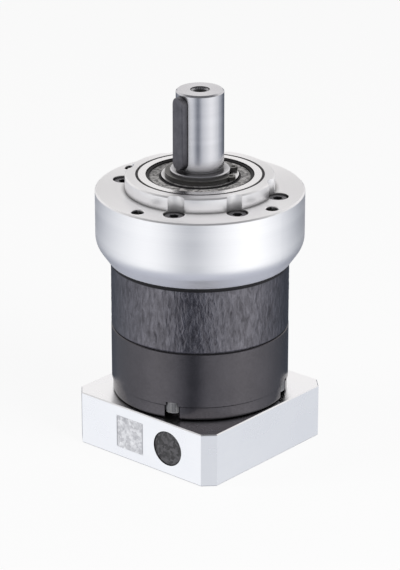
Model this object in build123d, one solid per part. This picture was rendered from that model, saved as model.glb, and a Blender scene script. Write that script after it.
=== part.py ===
from build123d import *
import os
from math import acos, asin, cos, degrees, pi, radians, sin, tan

# Inline planetary gearbox: round output flange, ring gear housing, input housing, square motor plate.
# Millimetres. +Z runs along the output shaft. The origin is the centre of the motor's mounting face.

# The frame size is the input housing's diameter. The other main sizes follow it.
frame_size = 60.0
frame_share = frame_size / 60.0

# Motor adapter plate
plate_overhang = 0.5
plate_width = frame_size + 2 * plate_overhang
plate_thickness = 18.7
plate_corner = 3.8
plate_edge = 0.35
motor_pilot_diameter = 50.0 * frame_share
motor_pilot_depth = 3.0
motor_bolt_circle = 70.0 * frame_share
motor_thread_core = 4.2
motor_thread_depth = 12.0
access_hole_diameter = 12.2
access_hole_height = 9.4
plug_length = 6.0
plug_set_back = 0.3
plug_edge = 0.3

# Housings
foot_step = 0.4
foot_height = 4.8
foot_rounding = 1.2
ring_housing_step = 0.1
ring_housing_diameter = frame_size - 2 * ring_housing_step
seam_chamfer = 0.25
seam_gap_height = 0.45
seam_gap_depth = 0.5
gasket_thickness = 0.5
gasket_inset = 0.4
input_spigot_depth = 2.5
spigot_step = 0.45
spigot_end_gap = 0.2
tool_relief_width = 1.0
tool_relief_depth = 0.2

# Output flange
flange_overhang = 5.0
flange_diameter = frame_size + 2 * flange_overhang
flange_foot_step = 0.8
flange_taper_height = 6.1
flange_rounding = 8.0
flange_lip_rounding = 0.8
flange_edge = 0.5
flange_face_width = 10.0
pilot_diameter = flange_diameter - 2 * flange_face_width
pilot_height = 5.0
pilot_edge = 0.5
bearing_shoulder = 2.0
bearing_lip = 2.4
flange_bolt_inset = 4.0
flange_bolt_circle = flange_diameter - 2 * flange_bolt_inset
flange_bolt_count = 4
flange_thread_core = 4.2
flange_thread_depth = 12.0
thread_mouth = 0.25

# Output shaft
shaft_step = 2.0
shaft_length = 34.3
shaft_chamfer = 0.6
shaft_shoulder_height = 2.2
shoulder_edge = 0.3
undercut_width = 1.0
undercut_depth = 0.4
shaft_thread_core = 4.2
shaft_thread_depth = 13.0
centre_mouth_diameter = 6.4
key_width = 5.0
key_height = 5.0
key_depth = 3.0
key_end_gap = 1.0
key_edge = 0.3
key_angle = -98.0

# Ball bearings: bore, outer diameter, width, ball
front_bearing_size = (20.0 * frame_share, 42.0 * frame_share, 12.0, 6.35)
rear_bearing_size = (25.0 * frame_share, 47.0 * frame_share, 12.0, 6.35)
input_bearing_size = (20.0 * frame_share, 32.0 * frame_share, 7.0, 3.5)
front_ball_count = 9
rear_ball_count = 10
input_ball_count = 12
bearing_edge = 0.4
seal_thickness = 1.0
seal_recess = 0.8
seal_dish = 0.4
seal_rim = 1.2
seal_slope = 0.5
seal_lip_gap = 0.3
shaft_diameter = front_bearing_size[0] - 2 * shaft_step

# Shares of a ball's diameter: race shoulder, half the cage's height, half the cage's wall
race_share = 0.41
cage_height_share = 0.58
cage_wall_share = 0.12

# Gears
module = 0.9 * frame_share
pressure_angle = 20.0
sun_teeth = 12
planet_teeth = 18
planet_count = 3
sun_shift = 0.3
addendum = 1.0
dedendum = 1.25
ring_addendum = 0.55
backlash = 0.12
gear_width = 12.0
gear_lift = 3.4

# Planet carrier
carrier_gap = 0.635
carrier_chamber_gap = 1.3
carrier_end_thickness = 4.0
carrier_head_thickness = 7.5
carrier_boss_step = 2.4
carrier_boss_height = 2.9
carrier_rise = 0.8
planet_pin_diameter = 5.0
planet_pin_inset = 0.5
planet_pin_cover = 1.0
needle_diameter = 1.5
needle_gap = 0.1
washer_thickness = 0.8
washer_inset = 0.7
window_clearance = 0.6
sun_clearance = 0.8

# Input shaft
motor_bore_diameter = 14.0 * frame_share
motor_bore_depth = 30.0
hub_wall = 2.0
hub_diameter = motor_bore_diameter + 2 * hub_wall
hub_start = 4.0
hub_slit = 1.2
hub_slit_length = 12.0
input_shoulder_step = 1.0
input_bearing_lift = 4.5
circlip_land = 0.4
neck_step = 1.0
neck_gap = 0.27
neck_end_gap = 1.6
sun_overlap = 0.4
collar_wall = 7.2
collar_diameter = hub_diameter + 2 * collar_wall
collar_width = 10.0
collar_gap = 1.5
collar_edge = 0.5
collar_room = 1.6
hub_chamber_diameter = collar_diameter + 2 * collar_room
clamp_screw_length = 12.0
clamp_screw_seat = 3.8
clamp_screw_inset = 3.0
access_hole_offset = hub_diameter / 2 + clamp_screw_inset

# Screws and pins: thread, head diameter, head height, socket across flats
screw_thread = 4.0
screw_head_diameter = 6.8
screw_head_height = 4.0
screw_head_edge = 0.3
screw_tip_edge = 0.4
screw_socket = 3.0
screw_socket_depth = 2.2
screw_hole_diameter = 4.5
flange_screw_inset = 2.9
flange_screw_circle = ring_housing_diameter - 2 * flange_screw_inset
flange_screw_recess = 7.2
flange_screw_sink = 0.6
flange_screw_length = 25.0
input_screw_inset = 3.5
input_screw_circle = frame_size - 2 * input_screw_inset
input_screw_recess = 8.0
input_screw_seat = 6.3
input_screw_length = 25.0
adapter_screw_recess = 7.0
adapter_screw_wall = 0.1
adapter_screw_circle = hub_chamber_diameter + adapter_screw_recess + 2 * adapter_screw_wall
adapter_screw_sink = 0.4
adapter_screw_length = 16.0
thread_spare = 1.5
dowel_diameter = 4.0
dowel_length = 8.0
dowel_end_gap = 0.3
pin_edge = 0.3

# Retaining rings and seals
circlip_thickness = 1.2
circlip_groove = 0.5
circlip_width = 2.2
small_circlip_width = 1.8
circlip_opening_angle = 34.0
shaft_circlip_angle = 36.0
input_circlip_angle = 0.0
housing_circlip_angle = 180.0
lug_radius = 1.5
lug_hole = 0.7
oil_seal_width = 6.0
oil_seal_gap = 0.8
oil_seal_room = 3.1
oil_seal_case = 1.2
oil_seal_lip_width = 1.8
oil_seal_lip_height = 3.2
oil_seal_lip_edge = 0.8
o_ring_cord = 1.2
o_ring_room = 0.15

# Clearances between pieces, and how far a cutting shape runs past the face that it cuts
running_gap = 0.05
race_gap = 0.06
side_gap = 0.1
end_gap = 0.4
free_gap = 0.8
press_gap = 0.02
past = 1.0

# Angles round the axis: eight places, of which two take dowel pins
screw_step_angle = 45.0
screw_first_angle = 22.5
dowel_angles = (67.5, 247.5)

# Heights above the motor face, from the plate up. Each housing is as long as what stands in it.
input_bearing_base = plate_thickness + input_bearing_lift
input_bearing_top = input_bearing_base + input_bearing_size[2]
oil_seal_base = input_bearing_top + circlip_thickness + oil_seal_gap
oil_seal_top = oil_seal_base + oil_seal_width
carrier_base = oil_seal_top + oil_seal_room
window_base = carrier_base + carrier_end_thickness
gear_base = window_base + washer_thickness + side_gap
gear_top = gear_base + gear_width
window_top = gear_top + washer_thickness + side_gap
carrier_top = window_top + carrier_head_thickness
ring_base = gear_base - gear_lift
ring_top = carrier_top - carrier_rise
flange_base = ring_top + gasket_thickness
rear_bearing_base = carrier_top + carrier_boss_height
front_bearing_base = rear_bearing_base + rear_bearing_size[2] + bearing_shoulder
pilot_face = front_bearing_base + front_bearing_size[2]
flange_face = pilot_face - pilot_height
shoulder_top = pilot_face + shaft_shoulder_height
shaft_end = flange_face + shaft_length
key_base = shoulder_top + undercut_width + side_gap
key_length = shaft_end - key_end_gap - key_base

# Gear radii
ring_teeth = sun_teeth + 2 * planet_teeth
centre_distance = module * (sun_teeth + planet_teeth) / 2
planet_shift = -sun_shift
planet_angles = [360.0 / planet_count * i for i in range(planet_count)]
sun_tip = module * (sun_teeth / 2 + sun_shift + addendum)
sun_root = module * (sun_teeth / 2 + sun_shift - dedendum)
planet_tip = module * (planet_teeth / 2 + planet_shift + addendum)
planet_root = module * (planet_teeth / 2 + planet_shift - dedendum)
ring_tip = module * (ring_teeth / 2 + planet_shift - ring_addendum)
ring_root = module * (ring_teeth / 2 + planet_shift + dedendum)
needle_circle = planet_pin_diameter / 2 + needle_diameter / 2 + running_gap
planet_bore = needle_circle + needle_diameter / 2 + running_gap
carrier_radius = ring_tip - carrier_gap
neck_radius = sun_tip - neck_gap
washer_radius = planet_root - washer_inset
spigot_radius = ring_root + spigot_step

screw_angles = [screw_first_angle + screw_step_angle * i for i in range(int(360 / screw_step_angle))]
flange_screw_angles = [angle for angle in screw_angles if angle not in dowel_angles]
quarter_angles = [90.0 * i for i in range(4)]
input_screw_angles = [screw_first_angle + angle for angle in quarter_angles]
motor_bolt_angles = [45.0 + angle for angle in quarter_angles]


def disc(radius, base, top):
    return Pos(0, 0, base) * Cylinder(radius, top - base, align=(Align.CENTER, Align.CENTER, Align.MIN))


def ring(inner, outer, base, top):
    return disc(outer, base, top) - disc(inner, base - past, top + past)


def turned(*points):
    # Solid of revolution about Z from its (radius, height) corners.
    return revolve(Plane.XZ * make_face(Polyline(*points, close=True)), Axis.Z)


def circles(shape):
    # The shape's round edges, smallest first.
    return shape.edges().filter_by(GeomType.CIRCLE).sort_by(SortBy.RADIUS)


def around(shape, angles, radius=0.0):
    # Copies of a shape at each angle round the axis.
    return [Rot(0, 0, angle) * Pos(radius, 0, 0) * shape for angle in angles]


def group(shapes):
    return Compound(children=list(shapes))


def involute(angle):
    return tan(angle) - angle


def gear_outline(teeth, shift, tip, root, thinning):
    # Face of a spur gear with one tooth centred on +X. Each flank gives up a quarter of the mesh's backlash.
    # A flank is one arc through three points of the true involute. Below the base circle it runs radially.
    pitch = module * teeth / 2
    base = pitch * cos(radians(pressure_angle))
    half = pi / 4 + shift * tan(radians(pressure_angle))
    half_angle = (half * module - thinning / 4) / pitch + involute(radians(pressure_angle))
    start = max(base, root)

    def flank(radius, side):
        angle = half_angle - involute(acos(min(1.0, base / radius)))
        return angle * side, radius

    def point(turn, angle_radius):
        angle, radius = angle_radius
        return radius * cos(turn + angle), radius * sin(turn + angle)

    edges = []
    rooted = start - root > 0.001
    step = 2 * pi / teeth
    middle = (start + tip) / 2
    for tooth in range(teeth):
        turn = tooth * step
        right = [point(turn, flank(r, -1)) for r in (start, middle, tip)]
        left = [point(turn, flank(r, 1)) for r in (tip, middle, start)]
        crest = (tip * cos(turn), tip * sin(turn))
        edges += [ThreePointArc(*right), ThreePointArc(right[2], crest, left[0]), ThreePointArc(*left)]
        root_angle = flank(start, 1)[0]
        foot = point(turn, (root_angle, root))
        valley = point(turn, (step / 2, root))
        next_foot = point(turn + step, (-root_angle, root))
        next_start = point(turn + step, flank(start, -1))
        if rooted:
            edges += [Line(left[2], foot), ThreePointArc(foot, valley, next_foot)]
            edges += [Line(next_foot, next_start)]
        else:
            edges += [ThreePointArc(left[2], valley, next_start)]
    return make_face(edges)


def socket_screw(length, thread=screw_thread):
    # Cap screw with its head's seat at Z = 0 and the shank below it.
    head = disc(screw_head_diameter / 2, 0, screw_head_height)
    head = chamfer(head.edges().group_by(Axis.Z)[-1], screw_head_edge)
    socket = extrude(RegularPolygon(screw_socket / 2, 6, major_radius=False), screw_socket_depth)
    shank = disc(thread / 2, -length, 0)
    shank = chamfer(shank.edges().group_by(Axis.Z)[0], screw_tip_edge)
    return head + shank - Pos(0, 0, screw_head_height - screw_socket_depth) * socket


def bearing(size, count, base):
    # Rings, balls and cage of a deep-groove ball bearing standing on the given height.
    bore, outer, width, ball = size
    pitch = (bore + outer) / 4
    centre = base + width / 2
    inner_land = pitch - race_share * ball
    outer_land = pitch + race_share * ball
    race = Pos(0, 0, centre) * Torus(pitch, ball / 2 + race_gap)
    inner_ring = chamfer(circles(ring(bore / 2, inner_land, base, base + width))[:2], bearing_edge)
    outer_ring = chamfer(circles(ring(outer_land, outer / 2, base, base + width))[-2:], bearing_edge)
    angles = [360.0 / count * i for i in range(count)]
    cage_half = ball * cage_height_share
    cage_wall = ball * cage_wall_share
    pocket = Rot(0, 90, 0) * Cylinder(ball / 2 + side_gap, ball)
    cage = ring(pitch - cage_wall, pitch + cage_wall, centre - cage_half, centre + cage_half)
    cage -= around(Pos(0, 0, centre) * pocket, angles, pitch)
    balls = group(around(Pos(0, 0, centre) * Sphere(ball / 2), angles, pitch))
    return {"inner_ring": inner_ring - race, "outer_ring": outer_ring - race, "cage": cage, "balls": balls}


def bearing_seals(size, base):
    # Two dished seals, each in the outer ring and just clear of the inner ring.
    bore, outer, width, ball = size
    pitch = (bore + outer) / 4
    inner = pitch - race_share * ball + seal_lip_gap
    seat = pitch + race_share * ball
    face = base + width - seal_recess
    rim = seat - seal_rim
    front = turned(
        (inner, face - seal_thickness), (inner, face), (rim, face), (rim + seal_slope, face - seal_dish),
        (seat, face - seal_dish), (seat, face - seal_thickness),
    )
    middle = Pos(0, 0, base + width / 2)
    return group([front, middle * (Rot(180, 0, 0) * (middle.inverse() * front))])


def open_ring(inner, outer, base, opening_angle, lug_circle):
    # Spring ring with a gap and two drilled lugs beside it.
    top = base + circlip_thickness
    shape = ring(inner, outer, base, top)
    half = circlip_opening_angle / 2
    reach = outer * 3
    gap = Polyline((0, 0), (reach * cos(radians(half)), -reach * sin(radians(half))),
                   (reach * cos(radians(half)), reach * sin(radians(half))), close=True)
    shape -= Pos(0, 0, base - past) * extrude(make_face(gap), circlip_thickness + 2 * past)
    lug_turn = half + degrees(asin(lug_radius / lug_circle))
    for side in (-1, 1):
        shape += around(disc(lug_radius, base, top), [side * lug_turn], lug_circle)
    for side in (-1, 1):
        shape -= around(disc(lug_hole, base - past, top + past), [side * lug_turn], lug_circle)
    return Rot(0, 0, opening_angle) * shape


def motor_adapter_plate():
    plate = Box(plate_width, plate_width, plate_thickness, align=(Align.CENTER, Align.CENTER, Align.MIN))
    plate = chamfer(plate.edges().filter_by(Axis.Z), plate_corner)
    plate = chamfer(plate.edges().group_by(Axis.Z)[0] + plate.edges().group_by(Axis.Z)[-1], plate_edge)
    plate -= disc(motor_pilot_diameter / 2, -past, motor_pilot_depth)
    plate -= disc(hub_chamber_diameter / 2, -past, plate_thickness + past)
    motor_hole = disc(motor_thread_core / 2, -past, motor_thread_depth)
    plate -= around(motor_hole, motor_bolt_angles, motor_bolt_circle / 2)
    screw_hole = disc(screw_hole_diameter / 2, -past, plate_thickness + past)
    screw_hole += disc(adapter_screw_recess / 2, -past, adapter_screw_seat())
    plate -= around(screw_hole, quarter_angles, adapter_screw_circle / 2)
    access = Cylinder(access_hole_diameter / 2, plate_width, align=(Align.CENTER, Align.CENTER, Align.MIN))
    plate -= Pos(access_hole_offset, 0, access_hole_height) * (Rot(90, 0, 0) * access)
    return plate


def access_plug():
    plug = disc(access_hole_diameter / 2 - running_gap, 0, plug_length)
    plug = chamfer(plug.edges().group_by(Axis.Z)[-1], plug_edge)
    face = -plate_width / 2 + plug_set_back + plug_length
    return Pos(access_hole_offset, face, access_hole_height) * (Rot(90, 0, 0) * plug)


def input_housing():
    outer = frame_size / 2
    foot = outer - foot_step
    foot_top = plate_thickness + foot_height
    body = turned(
        (0, plate_thickness), (foot, plate_thickness), (foot, foot_top), (outer, foot_top + outer - foot),
        (outer, ring_base - seam_chamfer), (outer - seam_chamfer, ring_base), (0, ring_base),
    )
    body = fillet(body.edges().group_by(Axis.Z)[0], foot_rounding)
    lower_spigot = hub_chamber_diameter / 2 - running_gap
    body += disc(lower_spigot, plate_thickness - input_spigot_depth, plate_thickness)
    spigot_top = ring_base + input_spigot_depth
    groove_middle = ring_base + input_spigot_depth / 2
    groove_half = o_ring_cord / 2 + o_ring_room
    body += disc(spigot_radius - press_gap, ring_base, spigot_top)
    body -= ring(spigot_radius - o_ring_cord, spigot_radius + past, groove_middle - groove_half,
                 groove_middle + groove_half)
    body -= disc(carrier_radius + end_gap, carrier_base - free_gap, spigot_top + past)
    body -= disc(input_bearing_size[1] / 2, input_bearing_base, carrier_base)
    shoulder = input_bearing_size[0] / 2 + input_shoulder_step
    body -= disc(shoulder + free_gap, 0, input_bearing_base + past)
    groove_radius = input_bearing_size[1] / 2 + circlip_groove
    body -= disc(groove_radius, input_bearing_top, input_bearing_top + circlip_thickness)
    seat = plate_thickness + input_screw_seat
    through = disc(screw_hole_diameter / 2, 0, ring_base + past) + disc(input_screw_recess / 2, 0, seat)
    body -= around(through, input_screw_angles, input_screw_circle / 2)
    tapped_top = adapter_screw_seat() + adapter_screw_length + thread_spare
    body -= around(disc(screw_thread / 2, 0, tapped_top), quarter_angles, adapter_screw_circle / 2)
    return body


def adapter_screw_seat():
    return motor_pilot_depth + adapter_screw_sink + screw_head_height


def ring_gear_housing():
    outer = ring_housing_diameter / 2
    gap = outer - seam_gap_depth
    gap_top = ring_base + seam_gap_height
    body = turned(
        (0, ring_base), (gap, ring_base), (gap, gap_top), (outer, gap_top), (outer, ring_top - seam_chamfer),
        (outer - seam_chamfer, ring_top), (0, ring_top),
    )
    body += disc(rear_bearing_size[1] / 2 - press_gap, ring_top, rear_bearing_base)
    teeth_base = ring_base + input_spigot_depth + spigot_end_gap
    body -= disc(spigot_radius, ring_base - past, teeth_base)
    body -= disc(carrier_radius + carrier_chamber_gap, window_top, rear_bearing_base + past)
    body -= disc(ring_root + tool_relief_depth, window_top - tool_relief_width, window_top)
    space = gear_outline(ring_teeth, planet_shift, ring_root, ring_tip, -backlash)
    body -= Pos(0, 0, teeth_base) * Rot(0, 0, ring_phase()) * extrude(space, window_top - teeth_base)
    flange_thread_base = flange_screw_tip() - thread_spare
    body -= around(disc(screw_thread / 2, flange_thread_base, ring_top + past), flange_screw_angles,
                   flange_screw_circle / 2)
    input_thread_top = plate_thickness + input_screw_seat + input_screw_length + thread_spare
    body -= around(disc(screw_thread / 2, ring_base - past, input_thread_top), input_screw_angles,
                   input_screw_circle / 2)
    dowel_hole = disc(dowel_diameter / 2, dowel_base(), ring_top + past)
    body -= around(dowel_hole, dowel_angles, flange_screw_circle / 2)
    return body


def ring_phase():
    # Angle of a tooth space of the ring gear that takes a tooth of the planet at angle 0.
    return (180.0 * planet_teeth + 180.0) / ring_teeth


def planet_phase(angle):
    # Angle of a tooth of the planet at this place, when a sun tooth points along +X.
    return angle + 180.0 + angle * sun_teeth / planet_teeth + 180.0 / planet_teeth


def flange_screw_seat():
    return flange_face - flange_screw_sink - screw_head_height


def flange_screw_tip():
    return flange_screw_seat() - flange_screw_length


def dowel_base():
    return ring_top + gasket_thickness / 2 - dowel_length / 2


def output_flange():
    outer = flange_diameter / 2
    foot = frame_size / 2 + flange_foot_step
    pilot = pilot_diameter / 2
    taper_top = flange_base + flange_taper_height
    profile = make_face(Polyline(
        (0, flange_base), (foot, flange_base), (outer, taper_top), (outer, flange_face - flange_edge),
        (outer - flange_edge, flange_face), (pilot, flange_face), (pilot, pilot_face - pilot_edge),
        (pilot - pilot_edge, pilot_face), (0, pilot_face), close=True,
    ))
    for radius, height, rounding in (
        (outer, taper_top, flange_rounding), (foot, flange_base, flange_lip_rounding),
    ):
        corner = profile.vertices().sort_by_distance(Vertex(radius, height, 0))[0]
        profile = fillet(corner, rounding)
    body = revolve(Plane.XZ * profile, Axis.Z)
    seat = front_bearing_size[1] / 2
    body -= disc(seat - bearing_lip, flange_base - past, pilot_face + past)
    body -= disc(seat, front_bearing_base, pilot_face + past)
    body -= disc(rear_bearing_size[1] / 2, flange_base - past, front_bearing_base - bearing_shoulder)
    body -= turned((0, pilot_face - bearing_edge), (seat, pilot_face - bearing_edge),
                   (seat + bearing_edge + past, pilot_face + past), (0, pilot_face + past))
    screw_hole = disc(screw_hole_diameter / 2, flange_base - past, pilot_face)
    screw_hole += disc(flange_screw_recess / 2, flange_screw_seat(), pilot_face + past)
    body -= around(screw_hole, flange_screw_angles, flange_screw_circle / 2)
    core = flange_thread_core / 2
    thread = disc(core, flange_face - flange_thread_depth, flange_face + past)
    mouth = Cone(core, core + thread_mouth + past, thread_mouth + past,
                 align=(Align.CENTER, Align.CENTER, Align.MIN))
    thread += Pos(0, 0, flange_face - thread_mouth) * mouth
    body -= around(thread, [360.0 / flange_bolt_count * i for i in range(flange_bolt_count)],
                   flange_bolt_circle / 2)
    dowel_hole = disc(dowel_diameter / 2, flange_base - past, dowel_base() + dowel_length + dowel_end_gap)
    body -= around(dowel_hole, dowel_angles, flange_screw_circle / 2)
    return body


def flange_gasket():
    shape = ring(rear_bearing_size[1] / 2, ring_housing_diameter / 2 - gasket_inset, ring_top, flange_base)
    hole = disc(screw_hole_diameter / 2, ring_top - past, flange_base + past)
    return shape - around(hole, screw_angles, flange_screw_circle / 2)


def output_shaft():
    # One piece: planet carrier with three windows, bearing seats, shoulder and keyed shaft end.
    drum = carrier_radius
    rear_seat = rear_bearing_size[0] / 2
    boss = rear_seat + carrier_boss_step
    front_seat = front_bearing_size[0] / 2
    radius = shaft_diameter / 2
    groove = front_seat - circlip_groove
    body = turned(
        (0, carrier_base), (drum, carrier_base), (drum, carrier_top), (boss, carrier_top),
        (boss, rear_bearing_base), (rear_seat, rear_bearing_base), (rear_seat, front_bearing_base),
        (front_seat, front_bearing_base), (front_seat, pilot_face), (groove, pilot_face),
        (groove, pilot_face + circlip_thickness), (front_seat, pilot_face + circlip_thickness),
        (front_seat, shoulder_top - shoulder_edge), (front_seat - shoulder_edge, shoulder_top),
        (radius - undercut_depth, shoulder_top), (radius - undercut_depth, shoulder_top + undercut_width),
        (radius, shoulder_top + undercut_width), (radius, shaft_end - shaft_chamfer),
        (radius - shaft_chamfer, shaft_end), (0, shaft_end),
    )
    window_radius = planet_tip + window_clearance
    window = disc(window_radius, window_base, window_top)
    window += Pos(0, 0, window_base) * Box(drum, 2 * window_radius, window_top - window_base,
                                           align=(Align.MIN, Align.CENTER, Align.MIN))
    body -= around(window, planet_angles, centre_distance)
    body -= disc(sun_tip + sun_clearance, carrier_base - past, window_top + past)
    pin_hole = disc(planet_pin_diameter / 2, carrier_base - past, pin_top())
    body -= around(pin_hole, planet_angles, centre_distance)
    core = shaft_thread_core / 2
    body -= disc(core, shaft_end - shaft_thread_depth, shaft_end + past)
    mouth = centre_mouth_diameter / 2
    body -= Pos(0, 0, shaft_end - (mouth - core)) * Cone(core, mouth + past, mouth - core + past,
                                                         align=(Align.CENTER, Align.CENTER, Align.MIN))
    return body - key_shape(key_base, key_length, key_height)


def pin_top():
    return carrier_top - planet_pin_cover


def key_shape(base, length, height):
    # Round-ended key lying along the shaft, its floor at the depth of the keyway.
    floor = shaft_diameter / 2 - key_depth
    outline = Rot(0, 0, 90) * SlotOverall(length, key_width)
    block = extrude(outline, height)
    upright = Pos(floor, 0, base + length / 2) * (Rot(0, 90, 0) * (Rot(0, 0, 90) * block))
    return Rot(0, 0, key_angle) * upright


def shaft_key():
    key = key_shape(key_base, key_length, key_height)
    top = key.faces().filter_by(GeomType.PLANE).sort_by_distance(
        Rot(0, 0, key_angle) * Vertex(shaft_diameter, 0, key_base + key_length / 2))[0]
    return chamfer(top.edges(), key_edge)


def planet_pins():
    pin = disc(planet_pin_diameter / 2, carrier_base + planet_pin_inset, pin_top())
    return group(around(chamfer(pin.edges().group_by(Axis.Z)[0], pin_edge), planet_angles, centre_distance))


def thrust_washers():
    bore = planet_pin_diameter / 2 + running_gap
    low = ring(bore, washer_radius, window_base, window_base + washer_thickness)
    high = ring(bore, washer_radius, window_top - washer_thickness, window_top)
    return group(around(low, planet_angles, centre_distance) + around(high, planet_angles, centre_distance))


def planet_gear(angle):
    outline = gear_outline(planet_teeth, planet_shift, planet_tip, planet_root, backlash)
    gear = Pos(0, 0, gear_base) * extrude(outline, gear_width)
    gear -= disc(planet_bore, gear_base - past, gear_top + past)
    turned_gear = Rot(0, 0, planet_phase(angle) - angle) * gear
    return Rot(0, 0, angle) * Pos(centre_distance, 0, 0) * turned_gear


def needle_rollers(angle):
    count = int(2 * pi * needle_circle / (needle_diameter + needle_gap))
    roller = disc(needle_diameter / 2, gear_base + side_gap, gear_top - side_gap)
    rollers = around(roller, [360.0 / count * i for i in range(count)], needle_circle)
    return group([Rot(0, 0, angle) * Pos(centre_distance, 0, 0) * r for r in rollers])


def sun_gear_shaft():
    # One piece: slit clamping hub, shoulder, bearing seat, seal land, neck and sun gear.
    hub = hub_diameter / 2
    seat = input_bearing_size[0] / 2
    groove = seat - circlip_groove
    shoulder = seat + input_shoulder_step
    shoulder_base = plate_thickness - input_spigot_depth + end_gap
    clip_top = input_bearing_top + circlip_thickness
    land_base = clip_top + circlip_land
    neck_base = oil_seal_top + neck_step
    neck_top = window_base - neck_end_gap
    sun_end = window_top - end_gap
    body = turned(
        (0, hub_start), (hub, hub_start), (hub, shoulder_base), (shoulder, shoulder_base),
        (shoulder, input_bearing_base), (seat, input_bearing_base), (seat, input_bearing_top),
        (groove, input_bearing_top), (groove, clip_top), (seat, clip_top), (seat, land_base),
        (hub, land_base + seat - hub), (hub, oil_seal_top), (hub - neck_step, neck_base),
        (neck_radius, neck_base), (neck_radius, neck_top), (sun_root, neck_top + neck_radius - sun_root),
        (sun_root, sun_end), (0, sun_end),
    )
    outline = gear_outline(sun_teeth, sun_shift, sun_tip, sun_root, backlash)
    sun_start = gear_base - sun_overlap
    body += Pos(0, 0, sun_start) * extrude(outline, sun_end - sun_start)
    bore = motor_bore_diameter / 2
    body -= disc(bore, 0, hub_start + motor_bore_depth)
    slit = Box(hub_diameter * 2, hub_slit, hub_slit_length, align=(Align.CENTER, Align.CENTER, Align.MIN))
    for angle in (0, 90):
        body -= Pos(0, 0, hub_start) * Rot(0, 0, angle) * slit
    return body


def clamping_collar():
    middle = access_hole_height
    base = middle - collar_width / 2
    body = ring(hub_diameter / 2, collar_diameter / 2, base, base + collar_width)
    body = chamfer(circles(body)[-2:], collar_edge)
    body -= Pos(0, 0, middle) * Box(collar_diameter, collar_gap, collar_width + 2 * past,
                                    align=(Align.MIN, Align.CENTER, Align.CENTER))
    bore = disc(screw_hole_diameter / 2, -past, clamp_screw_seat)
    spot = disc(flange_screw_recess / 2, clamp_screw_seat, collar_diameter)
    tapped = disc(screw_thread / 2, clamp_screw_seat - clamp_screw_length - thread_spare, 0)
    cutter = Rot(90, 0, 0) * (bore + spot + tapped)
    return body - Pos(access_hole_offset, 0, middle) * cutter


def clamp_screw():
    screw = Rot(90, 0, 0) * socket_screw(clamp_screw_length)
    return Pos(access_hole_offset, -clamp_screw_seat, access_hole_height) * screw


def input_oil_seal():
    # Angle-shaped case with a lip that bends in to the shaft.
    outer = input_bearing_size[1] / 2
    lip = hub_diameter / 2 + running_gap
    inner_case = outer - oil_seal_case
    lip_base = oil_seal_base + oil_seal_case
    lip_top = lip_base + oil_seal_lip_height
    return turned(
        (outer, oil_seal_base), (outer, oil_seal_top), (inner_case, oil_seal_top), (inner_case, lip_base),
        (lip + oil_seal_lip_width, lip_base), (lip + oil_seal_lip_width, lip_top),
        (lip + oil_seal_lip_edge, lip_top), (lip, lip_top - oil_seal_lip_edge),
        (lip + oil_seal_lip_edge, lip_base), (lip + oil_seal_lip_edge, oil_seal_base),
    )


def o_ring():
    cord = o_ring_cord / 2
    return Pos(0, 0, ring_base + input_spigot_depth / 2) * Torus(spigot_radius - cord, cord)


def flange_screws():
    screw = Pos(0, 0, flange_screw_seat()) * socket_screw(flange_screw_length)
    return group(around(screw, flange_screw_angles, flange_screw_circle / 2))


def input_screws():
    seat = plate_thickness + input_screw_seat
    screw = Pos(0, 0, seat) * (Rot(180, 0, 0) * socket_screw(input_screw_length))
    return group(around(screw, input_screw_angles, input_screw_circle / 2))


def adapter_screws():
    screw = Pos(0, 0, adapter_screw_seat()) * (Rot(180, 0, 0) * socket_screw(adapter_screw_length))
    return group(around(screw, quarter_angles, adapter_screw_circle / 2))


def dowel_pins():
    pin = disc(dowel_diameter / 2, dowel_base(), dowel_base() + dowel_length)
    return group(around(chamfer(pin.edges(), pin_edge), dowel_angles, flange_screw_circle / 2))


def shaft_circlip():
    groove = front_bearing_size[0] / 2 - circlip_groove
    return open_ring(groove, groove + circlip_width, pilot_face, shaft_circlip_angle, groove + circlip_width)


def input_shaft_circlip():
    groove = input_bearing_size[0] / 2 - circlip_groove
    rim = groove + small_circlip_width
    return open_ring(groove, rim, input_bearing_top, input_circlip_angle, rim)


def input_housing_circlip():
    groove = input_bearing_size[1] / 2 + circlip_groove
    rim = groove - circlip_width
    return open_ring(rim, groove, input_bearing_top, housing_circlip_angle, rim)


def write(name, shape):
    export_step(shape, f"parts/{name}.step")


os.makedirs("parts", exist_ok=True)

write("motor_adapter_plate", motor_adapter_plate())
write("access_plug", access_plug())
write("input_housing", input_housing())
write("ring_gear_housing", ring_gear_housing())
write("flange_gasket", flange_gasket())
write("output_flange", output_flange())
write("output_shaft", output_shaft())
write("shaft_key", shaft_key())
write("planet_pins", planet_pins())
write("thrust_washers", thrust_washers())
write("sun_gear_shaft", sun_gear_shaft())
write("clamping_collar", clamping_collar())
write("clamp_screw", clamp_screw())
write("input_oil_seal", input_oil_seal())
write("o_ring", o_ring())
write("flange_screws", flange_screws())
write("input_screws", input_screws())
write("adapter_screws", adapter_screws())
write("dowel_pins", dowel_pins())
write("shaft_circlip", shaft_circlip())
write("input_shaft_circlip", input_shaft_circlip())
write("input_housing_circlip", input_housing_circlip())

for number, angle in enumerate(planet_angles, start=1):
    write(f"planet_gear_{number}", planet_gear(angle))
    write(f"needle_rollers_{number}", needle_rollers(angle))

write("front_bearing_seals", bearing_seals(front_bearing_size, front_bearing_base))
for place, size, count, base in (
    ("front", front_bearing_size, front_ball_count, front_bearing_base),
    ("rear", rear_bearing_size, rear_ball_count, rear_bearing_base),
    ("input", input_bearing_size, input_ball_count, input_bearing_base),
):
    for piece, shape in bearing(size, count, base).items():
        write(f"{place}_bearing_{piece}", shape)
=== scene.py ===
import math

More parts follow.
